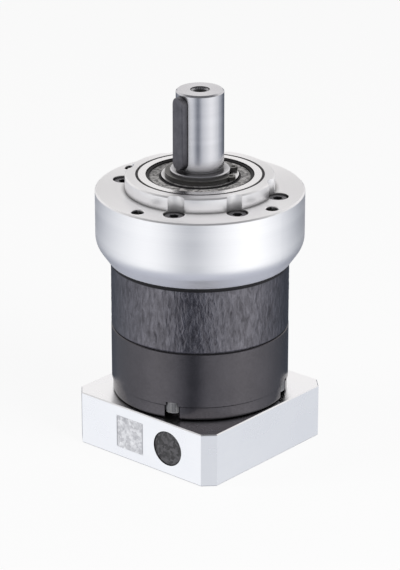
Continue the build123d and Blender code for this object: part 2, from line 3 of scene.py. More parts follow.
import bmesh
import bpy
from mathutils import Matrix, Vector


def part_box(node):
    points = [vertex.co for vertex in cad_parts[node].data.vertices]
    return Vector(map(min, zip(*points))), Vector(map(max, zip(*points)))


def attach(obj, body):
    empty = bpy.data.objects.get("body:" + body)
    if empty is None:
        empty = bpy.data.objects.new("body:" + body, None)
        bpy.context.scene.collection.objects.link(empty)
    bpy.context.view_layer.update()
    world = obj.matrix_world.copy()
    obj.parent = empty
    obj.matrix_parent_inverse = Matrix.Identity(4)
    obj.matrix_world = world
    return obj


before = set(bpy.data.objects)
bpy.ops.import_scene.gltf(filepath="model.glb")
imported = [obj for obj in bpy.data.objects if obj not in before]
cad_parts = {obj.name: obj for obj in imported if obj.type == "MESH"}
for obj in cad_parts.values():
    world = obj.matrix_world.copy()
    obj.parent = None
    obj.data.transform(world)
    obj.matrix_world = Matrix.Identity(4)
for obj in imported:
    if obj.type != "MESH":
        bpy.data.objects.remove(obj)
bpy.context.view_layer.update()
print("frame loaded:", len(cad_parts), "CAD nodes")

mm = 0.001


# Small helpers for node trees, shared by shaders and Geometry Nodes

def plug(tree, value, socket):
    # A number or a colour is written on the socket, anything else is linked to it.
    if isinstance(value, (int, float, tuple)):
        socket.default_value = value
    else:
        tree.links.new(value, socket)


def addNode(tree, kind, settings=None, **inputs):
    node = tree.nodes.new(kind)
    for key, value in (settings or {}).items():
        setattr(node, key, value)
    for key, value in inputs.items():
        plug(tree, value, node.inputs[key.replace("_", " ")])
    return node


def calc(tree, operation, *values, clamp=False):
    node = addNode(tree, "ShaderNodeMath", {"operation": operation, "use_clamp": clamp})
    for value, socket in zip(values, node.inputs):
        plug(tree, value, socket)
    return node.outputs[0]


def makeGroup(name, inputs, outputs):
    tree = bpy.data.node_groups.new(name, "ShaderNodeTree")
    for label, value in inputs.items():
        socket = tree.interface.new_socket(name=label, in_out="INPUT", socket_type="NodeSocketFloat")
        socket.default_value = value
    for label in outputs:
        tree.interface.new_socket(name=label, in_out="OUTPUT", socket_type="NodeSocketFloat")
    return tree, tree.nodes.new("NodeGroupInput"), tree.nodes.new("NodeGroupOutput")


def noise(tree, vector, scale, detail=2.0, roughness=0.5):
    node = addNode(tree, "ShaderNodeTexNoise", Vector=vector, Scale=scale, Detail=detail)
    plug(tree, roughness, node.inputs["Roughness"])
    return node.outputs["Fac"]


def objectSpace(tree):
    return addNode(tree, "ShaderNodeTexCoord").outputs["Object"]


# Shader groups: each puts out values that change over the surface

flatFaceLimit = 0.7
cloudScale = {"milled": 90.0, "cast": 120.0}
castRipple = {"upright": 0.3, "distortion": 0.7, "share": 0.75}
# Settings of the lighter edges, which are partly wear and partly a painted highlight.
edgeWearAndHighlightLook = {"gain": 7.0, "speckles": 900.0, "width": 0.00035, "breakup": 0.9}


def turnedMarksGroup():
    # Fine tool lines of a lathe: circles round the axis on flat faces, rings along the walls.
    tree, start, end = makeGroup("turnedMarks", {"Pitch": 0.0003, "Waves": 0.004}, ["Lines", "Bands"])
    place = addNode(tree, "ShaderNodeSeparateXYZ", Vector=objectSpace(tree))
    facing = addNode(tree, "ShaderNodeNewGeometry").outputs["True Normal"]
    normal = addNode(tree, "ShaderNodeSeparateXYZ", Vector=facing)
    flat = calc(tree, "GREATER_THAN", calc(tree, "ABSOLUTE", normal.outputs["Z"]), flatFaceLimit)
    squareX = calc(tree, "MULTIPLY", place.outputs["X"], place.outputs["X"])
    squareY = calc(tree, "MULTIPLY", place.outputs["Y"], place.outputs["Y"])
    radius = calc(tree, "SQRT", calc(tree, "ADD", squareX, squareY))
    across = calc(tree, "SUBTRACT", radius, place.outputs["Z"])
    along = calc(tree, "MULTIPLY_ADD", across, flat, place.outputs["Z"])
    oneWay = {"noise_dimensions": "1D"}
    for label, output, detail in (("Pitch", "Lines", 2.0), ("Waves", "Bands", 3.0)):
        line = calc(tree, "DIVIDE", along, start.outputs[label])
        wave = addNode(tree, "ShaderNodeTexNoise", oneWay, W=line, Scale=1.0, Detail=detail)
        plug(tree, wave.outputs["Fac"], end.inputs[output])
    return tree


def milledMarksGroup():
    # Straight cutter lines that run level round the sides of a block.
    tree, start, end = makeGroup("milledMarks", {"Pitch": 0.0003, "Length": 0.02}, ["Lines", "Bands"])
    shallow = calc(tree, "DIVIDE", 1.0, start.outputs["Length"])
    steep = calc(tree, "DIVIDE", 1.0, start.outputs["Pitch"])
    stretch = addNode(tree, "ShaderNodeCombineXYZ", X=shallow, Y=shallow, Z=steep)
    scaled = addNode(tree, "ShaderNodeVectorMath", {"operation": "MULTIPLY"})
    plug(tree, objectSpace(tree), scaled.inputs[0])
    plug(tree, stretch.outputs[0], scaled.inputs[1])
    plug(tree, noise(tree, scaled.outputs[0], 1.0), end.inputs["Lines"])
    plug(tree, noise(tree, objectSpace(tree), cloudScale["milled"], detail=3.0), end.inputs["Bands"])
    return tree


def fineGrainGroup():
    # Even grain with a slow cloud under it, for blasted, anodised, moulded and painted surfaces.
    tree, start, end = makeGroup("fineGrain", {"Size": 0.0004, "Cloud": 0.012}, ["Lines", "Bands"])
    for label, output, detail in (("Size", "Lines", 3.0), ("Cloud", "Bands", 4.0)):
        scale = calc(tree, "DIVIDE", 1.0, start.outputs[label])
        plug(tree, noise(tree, objectSpace(tree), scale, detail, roughness=0.6), end.inputs[output])
    return tree


def edgeWearAndHighlightGroup():
    # Mask of the sharp edges, broken up by a little noise: partly wear, partly a painted highlight along the
    # edges.
    tree, start, end = makeGroup("edgeWearAndHighlight", {"Width": 0.0004, "Breakup": 0.5}, ["Mask"])
    rounded = addNode(tree, "ShaderNodeBevel", {"samples": 4}, Radius=start.outputs["Width"])
    facing = addNode(tree, "ShaderNodeVectorMath", {"operation": "DOT_PRODUCT"})
    plug(tree, rounded.outputs[0], facing.inputs[0])
    plug(tree, addNode(tree, "ShaderNodeNewGeometry").outputs["Normal"], facing.inputs[1])
    away = calc(tree, "SUBTRACT", 1.0, facing.outputs["Value"])
    turn = calc(tree, "MULTIPLY", away, edgeWearAndHighlightLook["gain"], clamp=True)
    speckle = noise(tree, objectSpace(tree), edgeWearAndHighlightLook["speckles"], detail=3.0, roughness=0.7)
    rough = calc(tree, "MULTIPLY_ADD", calc(tree, "SUBTRACT", speckle, 0.5), start.outputs["Breakup"], 1.0)
    plug(tree, calc(tree, "MULTIPLY", turn, rough, clamp=True), end.inputs["Mask"])
    return tree


def paintedShadeGroup():
    # Mask of holes, grooves and inside corners, where the base colour is darkened as painted shade.
    tree, start, end = makeGroup("paintedCavityShade", {"Reach": 0.002, "Gain": 1.5}, ["Mask"])
    around = addNode(tree, "ShaderNodeAmbientOcclusion", {"samples": 6}, Distance=start.outputs["Reach"])
    shut = calc(tree, "SUBTRACT", 1.0, around.outputs["AO"])
    plug(tree, calc(tree, "MULTIPLY", shut, start.outputs["Gain"], clamp=True), end.inputs["Mask"])
    return tree


def castTextureGroup():
    # Wrinkled skin of thick paint on a rough casting: upright ripples with a fine grain on top.
    tree, start, end = makeGroup("castTexture", {"Ripple": 0.0009, "Grain": 0.00025}, ["Lines", "Bands"])
    upright = addNode(tree, "ShaderNodeVectorMath", {"operation": "MULTIPLY"})
    plug(tree, objectSpace(tree), upright.inputs[0])
    plug(tree, (1.0, 1.0, castRipple["upright"]), upright.inputs[1])
    scale = calc(tree, "DIVIDE", 1.0, start.outputs["Ripple"])
    ripples = addNode(tree, "ShaderNodeTexNoise", Vector=upright.outputs[0], Scale=scale, Detail=2.0,
                      Distortion=castRipple["distortion"])
    grain = noise(tree, objectSpace(tree), calc(tree, "DIVIDE", 1.0, start.outputs["Grain"]))
    coarse = calc(tree, "MULTIPLY", ripples.outputs["Fac"], castRipple["share"])
    height = calc(tree, "MULTIPLY_ADD", grain, 1.0 - castRipple["share"], coarse)
    plug(tree, height, end.inputs["Lines"])
    plug(tree, noise(tree, objectSpace(tree), cloudScale["cast"], detail=4.0), end.inputs["Bands"])
    return tree


def speckleGroup():
    # Flecks of different tone side by side, as on a dusty moulded rubber face.
    tree, start, end = makeGroup("speckle", {"Fleck": 0.0006, "Cloud": 0.003}, ["Lines", "Bands"])
    scale = calc(tree, "DIVIDE", 1.0, start.outputs["Fleck"])
    flecks = addNode(tree, "ShaderNodeTexVoronoi", Vector=objectSpace(tree), Scale=scale)
    tone = addNode(tree, "ShaderNodeSeparateColor", Color=flecks.outputs["Color"]).outputs[0]
    plug(tree, tone, end.inputs["Lines"])
    cloud = calc(tree, "DIVIDE", 1.0, start.outputs["Cloud"])
    plug(tree, noise(tree, objectSpace(tree), cloud, detail=4.0, roughness=0.6), end.inputs["Bands"])
    return tree


surfaceGroups = {
    "turned": turnedMarksGroup(),
    "speckle": speckleGroup(),
    "milled": milledMarksGroup(),
    "grain": fineGrainGroup(),
    "cast": castTextureGroup(),
}
edgeWearAndHighlight = edgeWearAndHighlightGroup()
paintedCavityShade = paintedShadeGroup()
print("shader groups built")


# Finishes

# Tones are linear colours, lengths are metres. Sizes feed the surface's group; the pair of reach and
# strength sets the shade painted into holes and inside corners.
finishes = {
    "polished_aluminium": {
        "surface": "turned", "sizes": (0.00025, 0.005), "relief": 0.000004,
        "low": (0.885, 0.885, 0.90), "high": (0.95, 0.95, 0.96),
        "metallic": 0.94, "roughness": (0.34, 0.42), "brushed": 0.5,
        "edge": (0.97, 0.97, 0.98), "wear": 0.5, "paintedShade": (0.0016, 1.35),
    },
    "milled_aluminium": {
        "surface": "milled", "sizes": (0.00022, 0.03), "relief": 0.000004,
        "low": (0.89, 0.895, 0.92), "high": (0.95, 0.955, 0.965),
        "metallic": 1.0, "roughness": (0.24, 0.32),
        "edge": (0.97, 0.97, 0.98), "wear": 0.5, "paintedShade": (0.0006, 0.9),
    },
    "clamp_aluminium": {
        "surface": "turned", "sizes": (0.0003, 0.004), "relief": 0.000006,
        "low": (0.62, 0.63, 0.65), "high": (0.74, 0.75, 0.77),
        "metallic": 1.0, "roughness": (0.3, 0.42),
        "edge": (0.85, 0.85, 0.86), "wear": 0.6,
    },
    "black_anodised": {
        "surface": "grain", "sizes": (0.0007, 0.012), "relief": 0.00002, "fine": 0.6,
        "low": (0.066, 0.062, 0.068), "high": (0.108, 0.102, 0.112),
        "metallic": 0.9, "roughness": (0.18, 0.27), "specular": 0.4,
        "edge": (0.12, 0.12, 0.13), "wear": 0.2, "paintedShade": (0.0016, 1.2),
    },
    "dark_casting": {
        "surface": "cast", "sizes": (0.0011, 0.0004), "relief": 0.00024, "fine": 0.75,
        "low": (0.040, 0.038, 0.043), "high": (0.205, 0.199, 0.224),
        "metallic": 1.0, "roughness": (0.15, 0.25), "specular": 0.4,
        "edge": (0.18, 0.18, 0.2), "wear": 0.2, "paintedShade": (0.0012, 1.0),
    },
    "black_rubber": {
        "surface": "speckle", "sizes": (0.0009, 0.003), "relief": 0.00003, "fine": 0.7,
        "low": (0.014, 0.013, 0.014), "high": (0.115, 0.112, 0.120),
        "metallic": 0.0, "roughness": (0.38, 0.6),
        "edge": (0.1, 0.1, 0.105), "wear": 0.3,
    },
    "seal_rubber": {
        "surface": "speckle", "sizes": (0.0008, 0.003), "relief": 0.00003, "fine": 0.75,
        "low": (0.11, 0.108, 0.106), "high": (0.64, 0.62, 0.61),
        "metallic": 0.0, "roughness": (0.42, 0.62),
        "edge": (0.22, 0.21, 0.2), "wear": 0.2, "paintedShade": (0.0008, 0.5),
    },
    "blackened_steel": {
        "surface": "grain", "sizes": (0.0005, 0.003), "relief": 0.000006,
        "low": (0.070, 0.068, 0.078), "high": (0.145, 0.142, 0.160),
        "metallic": 0.75, "roughness": (0.26, 0.40),
        "edge": (0.3, 0.3, 0.32), "wear": 0.4,
    },
    "spring_steel": {
        "surface": "grain", "sizes": (0.0004, 0.003), "relief": 0.000004,
        "low": (0.045, 0.043, 0.040), "high": (0.11, 0.108, 0.10),
        "metallic": 0.8, "roughness": (0.25, 0.4),
        "edge": (0.45, 0.45, 0.44), "wear": 0.6,
    },
    "ground_steel": {
        "surface": "turned", "sizes": (0.00012, 0.006), "relief": 0.000002,
        "low": (0.55, 0.55, 0.575), "high": (0.65, 0.65, 0.68),
        "metallic": 1.0, "roughness": (0.2, 0.28), "brushed": 0.5,
        "edge": (0.88, 0.88, 0.89), "wear": 0.4,
    },
    "gear_steel": {
        "surface": "grain", "sizes": (0.0005, 0.008), "relief": 0.000004,
        "low": (0.40, 0.39, 0.39), "high": (0.52, 0.515, 0.51),
        "metallic": 1.0, "roughness": (0.24, 0.38),
        "edge": (0.7, 0.7, 0.7), "wear": 0.6,
    },
    "bearing_steel": {
        "surface": "turned", "sizes": (0.00015, 0.003), "relief": 0.000002,
        "low": (0.78, 0.78, 0.79), "high": (0.88, 0.88, 0.89),
        "metallic": 1.0, "roughness": (0.22, 0.3), "brushed": 0.4,
        "edge": (0.9, 0.9, 0.9), "wear": 0.4,
    },
    # A lighter grey for the input screws than for the other screws.
    "light_screw_grey": {
        "surface": "grain", "sizes": (0.0005, 0.003), "relief": 0.000006,
        "low": (0.22, 0.22, 0.225), "high": (0.38, 0.38, 0.385),
        "metallic": 0.6, "roughness": (0.3, 0.45),
        "edge": (0.5, 0.5, 0.5), "wear": 0.5,
    },
    "thread_shade": {
        "surface": "grain", "sizes": (0.0005, 0.003), "relief": 0.000004,
        "low": (0.03, 0.03, 0.032), "high": (0.07, 0.07, 0.074),
        "metallic": 0.7, "roughness": (0.4, 0.55),
        "edge": (0.12, 0.12, 0.125), "wear": 0.3,
    },
    # Near-black colour of the rings and lines of painted shade in the joints.
    "joint_shade": {
        "surface": "grain", "sizes": (0.0006, 0.004), "relief": 0.00002,
        "low": (0.004, 0.004, 0.005), "high": (0.013, 0.012, 0.014),
        "metallic": 0.0, "roughness": (0.45, 0.6), "specular": 0.2,
        "edge": (0.03, 0.03, 0.032), "wear": 0.2,
    },
    "cage_polymer": {
        "surface": "grain", "sizes": (0.0005, 0.006), "relief": 0.00001,
        "low": (0.42, 0.33, 0.19), "high": (0.52, 0.42, 0.26),
        "metallic": 0.0, "roughness": (0.4, 0.55),
        "edge": (0.6, 0.5, 0.33), "wear": 0.3,
    },
}


def mixColour(tree, factor, first, second):
    node = addNode(tree, "ShaderNodeMix", {"data_type": "RGBA"})
    for value, socket in zip((factor, first, second), (node.inputs[0], node.inputs[6], node.inputs[7])):
        plug(tree, value + (1.0,) if isinstance(value, tuple) else value, socket)
    return node.outputs[2]


def mapRange(tree, value, low, high):
    return calc(tree, "MULTIPLY_ADD", value, high - low, low)


noiseContrast = 2.2


def steepen(tree, value):
    # More contrast round the middle of a noise.
    return calc(tree, "MULTIPLY_ADD", calc(tree, "SUBTRACT", value, 0.5), noiseContrast, 0.5, clamp=True)


def groupNode(tree, group, *values):
    node = addNode(tree, "ShaderNodeGroup", {"node_tree": group})
    for value, socket in zip(values, node.inputs):
        socket.default_value = value
    return node


# Colour of the painted shade in holes, grooves and inside corners.
paintedShadeTone = (0.02, 0.02, 0.022)
usualLook = {"fine": 0.35, "specular": 0.5, "brushed": 0.0, "paintedShade": (0.003, 1.5)}


def makeFinish(name, settings):
    look = {**usualLook, **settings}
    material = bpy.data.materials.new(name)
    material.use_nodes = True
    tree = material.node_tree
    shader = tree.nodes["Principled BSDF"]
    marks = groupNode(tree, surfaceGroups[look["surface"]], *look["sizes"])
    wornAndLit = groupNode(tree, edgeWearAndHighlight, edgeWearAndHighlightLook["width"], edgeWearAndHighlightLook["breakup"])
    steepBand = steepen(tree, marks.outputs["Bands"])
    slow = calc(tree, "MULTIPLY", steepBand, 1.0 - look["fine"])
    blend = calc(tree, "MULTIPLY_ADD", steepen(tree, marks.outputs["Lines"]), look["fine"], slow)
    body = mixColour(tree, blend, look["low"], look["high"])
    # Sharp edges take the lighter edge colour: partly wear, partly a painted edge highlight.
    wearAndHighlightMask = calc(tree, "MULTIPLY", wornAndLit.outputs["Mask"], look["wear"])
    wearAndHighlightColour = mixColour(tree, wearAndHighlightMask, body, look["edge"])
    # Painted shade: holes, grooves and inside corners are darkened in the base colour.
    paintedShadeMask = groupNode(tree, paintedCavityShade, *look["paintedShade"])
    plug(tree, mixColour(tree, paintedShadeMask.outputs["Mask"], wearAndHighlightColour, paintedShadeTone), shader.inputs["Base Color"])
    plug(tree, mapRange(tree, marks.outputs["Bands"], *look["roughness"]), shader.inputs["Roughness"])
    shader.inputs["Metallic"].default_value = look["metallic"]
    shader.inputs["Specular IOR Level"].default_value = look["specular"]
    shader.inputs["Anisotropic"].default_value = look["brushed"]
    bump = addNode(tree, "ShaderNodeBump", Strength=1.0, Distance=look["relief"])
    plug(tree, marks.outputs["Lines"], bump.inputs["Height"])
    plug(tree, bump.outputs[0], shader.inputs["Normal"])
    return material


materials = {name: makeFinish(name, look) for name, look in finishes.items()}
print("materials built:", len(materials))


# Which CAD nodes wear which finish

nodeFinish = {
    "polished_aluminium": ["output_flange"],
    "milled_aluminium": ["motor_adapter_plate"],
    "clamp_aluminium": ["clamping_collar"],
    "black_anodised": ["input_housing"],
    "dark_casting": ["ring_gear_housing"],
    "black_rubber": ["access_plug", "o_ring", "flange_gasket", "input_oil_seal"],
    "seal_rubber": ["front_bearing_seals"],
    "blackened_steel": ["shaft_key", "flange_screws", "adapter_screws", "clamp_screw"],
    "light_screw_grey": ["input_screws"],
    "spring_steel": ["shaft_circlip", "input_shaft_circlip", "input_housing_circlip"],
    "ground_steel": ["output_shaft", "sun_gear_shaft", "dowel_pins", "planet_pins"],
    "gear_steel": ["thrust_washers"] + [f"planet_gear_{i}" for i in (1, 2, 3)],
    "bearing_steel": [f"needle_rollers_{i}" for i in (1, 2, 3)],
    "cage_polymer": [],
}
for place in ("front", "rear", "input"):
    for part in ("inner_ring", "outer_ring", "balls"):
        nodeFinish["bearing_steel"].append(f"{place}_bearing_{part}")
    nodeFinish["cage_polymer"].append(f"{place}_bearing_cage")


def wear(thing, material):
    thing.data.materials.clear()
    thing.data.materials.append(material)


for finish, names in nodeFinish.items():
    for name in names:
        wear(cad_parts[name], materials[finish])
bare = set(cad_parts) - {name for names in nodeFinish.values() for name in names}
print("CAD nodes dressed, left bare:", sorted(bare))


# Geometry Nodes helpers

def geometryTree(name, sizes, counts):
    tree = bpy.data.node_groups.new(name, "GeometryNodeTree")
    tree.is_modifier = True
    for label, kind in [(s, "NodeSocketFloat") for s in sizes] + [(c, "NodeSocketInt") for c in counts]:
        tree.interface.new_socket(name=label, in_out="INPUT", socket_type=kind)
    tree.interface.new_socket(name="Finish", in_out="INPUT", socket_type="NodeSocketMaterial")
    tree.interface.new_socket(name="Geometry", in_out="OUTPUT", socket_type="NodeSocketGeometry")
    return tree, tree.nodes.new("NodeGroupInput").outputs, tree.nodes.new("NodeGroupOutput").inputs


def closeTree(tree, geometry, finish, end):
    whole = addNode(tree, "GeometryNodeRealizeInstances", Geometry=geometry)
    painted = addNode(tree, "GeometryNodeSetMaterial", Geometry=whole.outputs[0], Material=finish)
    plug(tree, painted.outputs[0], end[0])


def grow(name, tree, values, finish, body, smooth=True):
    # Runs a tree on an empty carrier and keeps the result as a plain mesh that rides on its body.
    carrier = bpy.data.objects.new(name + "Carrier", bpy.data.meshes.new(name + "Carrier"))
    bpy.context.scene.collection.objects.link(carrier)
    modifier = carrier.modifiers.new("grow", "NODES")
    modifier.node_group = tree
    for socket in tree.interface.items_tree:
        if socket.in_out == "INPUT":
            value = materials[finish] if socket.name == "Finish" else values[socket.name]
            modifier[socket.identifier] = value
    depsgraph = bpy.context.evaluated_depsgraph_get()
    mesh = bpy.data.meshes.new_from_object(carrier.evaluated_get(depsgraph))
    bpy.data.objects.remove(carrier)
    mesh.polygons.foreach_set("use_smooth", [smooth] * len(mesh.polygons))
    piece = bpy.data.objects.new(name, mesh)
    bpy.context.scene.collection.objects.link(piece)
    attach(piece, body)
    print("piece:", name, len(mesh.polygons), "faces")


def ringOfPoints(tree, count, circle, first, height):
    # Points at even steps round the axis, and the angle of each.
    index = addNode(tree, "GeometryNodeInputIndex").outputs[0]
    step = calc(tree, "DIVIDE", 2 * math.pi, count)
    angle = calc(tree, "MULTIPLY_ADD", index, step, first)
    x = calc(tree, "MULTIPLY", circle, calc(tree, "COSINE", angle))
    y = calc(tree, "MULTIPLY", circle, calc(tree, "SINE", angle))
    place = addNode(tree, "ShaderNodeCombineXYZ", X=x, Y=y, Z=height)
    return addNode(tree, "GeometryNodePoints", Count=count, Position=place.outputs[0]).outputs[0], angle


# Screw threads in the tapped holes

stepsPerTurn = 24


def threadTree():
    # A vee ridge as wide as the pitch, wound up the hole's wall, so that its turns join into one thread.
    sizes = ["Circle", "First angle", "Bottom", "Depth", "Core radius", "Pitch", "Ridge"]
    tree, start, end = geometryTree("threadTree", sizes, ["Count"])
    turns = calc(tree, "DIVIDE", start["Depth"], start["Pitch"])
    helix = addNode(tree, "GeometryNodeCurveSpiral", Resolution=stepsPerTurn, Rotations=turns)
    plug(tree, start["Depth"], helix.inputs["Height"])
    plug(tree, start["Core radius"], helix.inputs["Start Radius"])
    plug(tree, start["Core radius"], helix.inputs["End Radius"])
    upright = addNode(tree, "GeometryNodeSetCurveNormal", {"mode": "Z_UP"}, Curve=helix.outputs[0])
    vee = addNode(tree, "GeometryNodeCurvePrimitiveQuadrilateral", {"mode": "KITE"})
    plug(tree, calc(tree, "MULTIPLY", start["Ridge"], 2.0), vee.inputs["Width"])
    for label in ("Bottom Height", "Top Height"):
        plug(tree, calc(tree, "MULTIPLY", start["Pitch"], 0.5), vee.inputs[label])
    swept = addNode(tree, "GeometryNodeCurveToMesh", Curve=upright.outputs[0])
    plug(tree, vee.outputs[0], swept.inputs["Profile Curve"])
    swept.inputs["Fill Caps"].default_value = True
    points, _ = ringOfPoints(tree, start["Count"], start["Circle"], start["First angle"], start["Bottom"])
    placed = addNode(tree, "GeometryNodeInstanceOnPoints", Points=points, Instance=swept.outputs[0])
    closeTree(tree, placed.outputs[0], start["Finish"], end)
    return tree


plateLow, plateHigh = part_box("motor_adapter_plate")
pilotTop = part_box("output_flange")[1].z
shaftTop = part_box("output_shaft")[1].z
pilotTall = 5.0 * mm
flangeFace = pilotTop - pilotTall
metricFive = {"Core radius": 2.1 * mm, "Pitch": 0.8 * mm, "Ridge": 0.14 * mm}
flangeThreads = {**metricFive, "Circle": 31 * mm, "First angle": 0.0, "Count": 4,
                 "Bottom": flangeFace - 11.4 * mm, "Depth": 10.9 * mm}
plateThreads = {**metricFive, "Circle": 35 * mm, "First angle": math.radians(45), "Count": 4,
                "Bottom": 0.6 * mm, "Depth": 10.6 * mm}
shaftThread = {**metricFive, "Circle": 0.0, "First angle": 0.0, "Count": 1,
               "Bottom": shaftTop - 12.4 * mm, "Depth": 10.2 * mm}
threads = threadTree()
grow("flange_threads", threads, flangeThreads, "thread_shade", "housing")
grow("plate_threads", threads, plateThreads, "thread_shade", "housing")
grow("shaft_thread", threads, shaftThread, "thread_shade", "output")


# Knurled sides of the socket heads

# The two skips name heads that get no knurls, and -1 names none.
sameIndex = 0.1


def knurlTree():
    sizes = ["Circle", "First angle", "Bottom", "Head radius", "Tall", "Ridge"]
    tree, start, end = geometryTree("knurlTree", sizes, ["Count", "Ridges", "Skip one", "Skip two"])
    points, _ = ringOfPoints(tree, start["Count"], start["Circle"], start["First angle"], start["Bottom"])
    index = addNode(tree, "GeometryNodeInputIndex").outputs[0]
    skipped = calc(tree, "ADD", calc(tree, "COMPARE", index, start["Skip one"], sameIndex),
                   calc(tree, "COMPARE", index, start["Skip two"], sameIndex))
    kept = addNode(tree, "GeometryNodeDeleteGeometry", {"domain": "POINT"}, Geometry=points)
    plug(tree, skipped, kept.inputs["Selection"])
    ridge = addNode(tree, "GeometryNodeMeshCylinder", Vertices=4, Radius=start["Ridge"])
    plug(tree, start["Tall"], ridge.inputs["Depth"])
    half = calc(tree, "MULTIPLY", start["Tall"], 0.5)
    around, angle = ringOfPoints(tree, start["Ridges"], start["Head radius"], 0.0, half)
    turn = addNode(tree, "ShaderNodeCombineXYZ", Z=angle)
    head = addNode(tree, "GeometryNodeInstanceOnPoints", Points=around, Instance=ridge.outputs["Mesh"])
    plug(tree, turn.outputs[0], head.inputs["Rotation"])
    placed = addNode(tree, "GeometryNodeInstanceOnPoints", Points=kept.outputs[0], Instance=head.outputs[0])
    closeTree(tree, placed.outputs[0], start["Finish"], end)
    return tree


headKnurl = {"Head radius": 3.4 * mm, "Tall": 3.0 * mm, "Ridge": 0.09 * mm, "Ridges": 40,
             "Skip one": -1, "Skip two": -1}
inputScrewSeat = 2.9 * mm
knurlPlaces = {
    "flange_knurls": {"Circle": 27 * mm, "First angle": math.radians(22.5), "Count": 8,
                      "Bottom": flangeFace - 4.4 * mm, "Skip one": 1, "Skip two": 5},
    "input_knurls": {"Circle": 26.5 * mm, "First angle": math.radians(22.5), "Count": 4,
                     "Bottom": plateHigh.z + inputScrewSeat},
    "adapter_knurls": {"Circle": 21.4 * mm, "First angle": 0.0, "Count": 4, "Bottom": 4.0 * mm},
}
knurls = knurlTree()
for name, place in knurlPlaces.items():
    values = {**headKnurl, **place}
    grow(name, knurls, values, "blackened_steel", "housing", smooth=False)


# Uneven skin on the ring gear housing: a closed sleeve whose outer wall carries the bumps

bumpShape = {"smoothness": 0.5, "narrow": 1.5, "rimFade": 60.0, "sewDistance": 0.00001}


def skinTree():
    sizes = ["Radius", "Bottom", "Tall", "Wall", "Bump height", "Bump size", "Seed"]
    tree, start, end = geometryTree("skinTree", sizes, ["Columns", "Rows"])
    grid = addNode(tree, "GeometryNodeMeshGrid")
    plug(tree, 1.0, grid.inputs["Size X"])
    plug(tree, 1.0, grid.inputs["Size Y"])
    plug(tree, calc(tree, "ADD", start["Columns"], 1), grid.inputs["Vertices X"])
    plug(tree, calc(tree, "ADD", start["Rows"], 3), grid.inputs["Vertices Y"])
    index = addNode(tree, "GeometryNodeInputIndex").outputs[0]
    perColumn = calc(tree, "ADD", start["Rows"], 3)
    column = calc(tree, "FLOOR", calc(tree, "DIVIDE", calc(tree, "ADD", index, 0.5), perColumn))
    row = calc(tree, "SUBTRACT", index, calc(tree, "MULTIPLY", column, perColumn))
    angle = calc(tree, "MULTIPLY", calc(tree, "DIVIDE", column, start["Columns"]), 2 * math.pi)
    lastRow = calc(tree, "SUBTRACT", start["Rows"], 1)
    # After the outer wall come two rows of the inner wall, and the last row closes the sleeve.
    inner = calc(tree, "MULTIPLY", calc(tree, "GREATER_THAN", row, calc(tree, "ADD", lastRow, 0.5)),
                 calc(tree, "LESS_THAN", row, calc(tree, "ADD", lastRow, 2.5)))
    past = calc(tree, "GREATER_THAN", row, calc(tree, "ADD", lastRow, 1.5))
    level = calc(tree, "MULTIPLY", calc(tree, "MINIMUM", calc(tree, "DIVIDE", row, lastRow), 1.0),
                 calc(tree, "SUBTRACT", 1.0, past))
    height = calc(tree, "MULTIPLY_ADD", level, start["Tall"], start["Bottom"])
    radius = calc(tree, "SUBTRACT", start["Radius"], calc(tree, "MULTIPLY", inner, start["Wall"]))
    cosine, sine = calc(tree, "COSINE", angle), calc(tree, "SINE", angle)
    plain = addNode(tree, "ShaderNodeCombineXYZ", X=calc(tree, "MULTIPLY", radius, cosine),
                    Y=calc(tree, "MULTIPLY", radius, sine), Z=height).outputs[0]
    scale = calc(tree, "DIVIDE", 1.0, start["Bump size"])
    smoothCells = {"voronoi_dimensions": "4D", "feature": "SMOOTH_F1"}
    cells = addNode(tree, "ShaderNodeTexVoronoi", smoothCells, Vector=plain, W=start["Seed"], Scale=scale,
                    Smoothness=bumpShape["smoothness"])
    fall = calc(tree, "MULTIPLY", cells.outputs["Distance"], bumpShape["narrow"])
    swell = calc(tree, "SUBTRACT", 1.0, fall, clamp=True)
    inside = calc(tree, "MULTIPLY", level, calc(tree, "SUBTRACT", 1.0, level))
    rim = calc(tree, "MULTIPLY", inside, bumpShape["rimFade"], clamp=True)
    lift = calc(tree, "MULTIPLY", calc(tree, "MULTIPLY", swell, rim), start["Bump height"])
    outward = addNode(tree, "ShaderNodeCombineXYZ", X=calc(tree, "MULTIPLY", lift, cosine),
                      Y=calc(tree, "MULTIPLY", lift, sine)).outputs[0]
    moved = addNode(tree, "GeometryNodeSetPosition", Position=plain, Offset=outward)
    plug(tree, grid.outputs["Mesh"], moved.inputs["Geometry"])
    sewn = addNode(tree, "GeometryNodeMergeByDistance", Geometry=moved.outputs[0])
    plug(tree, bumpShape["sewDistance"], sewn.inputs["Distance"])
    closeTree(tree, sewn.outputs[0], start["Finish"], end)
    return tree


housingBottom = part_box("ring_gear_housing")[0].z
castSkin = {"Radius": 29.91 * mm, "Bottom": housingBottom + 0.5 * mm, "Tall": 22.2 * mm, "Wall": 0.2 * mm,
            "Bump height": 0.1 * mm, "Bump size": 1.7 * mm, "Seed": 3.0, "Columns": 480, "Rows": 64}
grow("cast_skin", skinTree(), castSkin, "dark_casting", "housing")


# Painted shade in the joints: dark round beads that follow circles about the axis

beadSteps = {"path": 160, "section": 8}


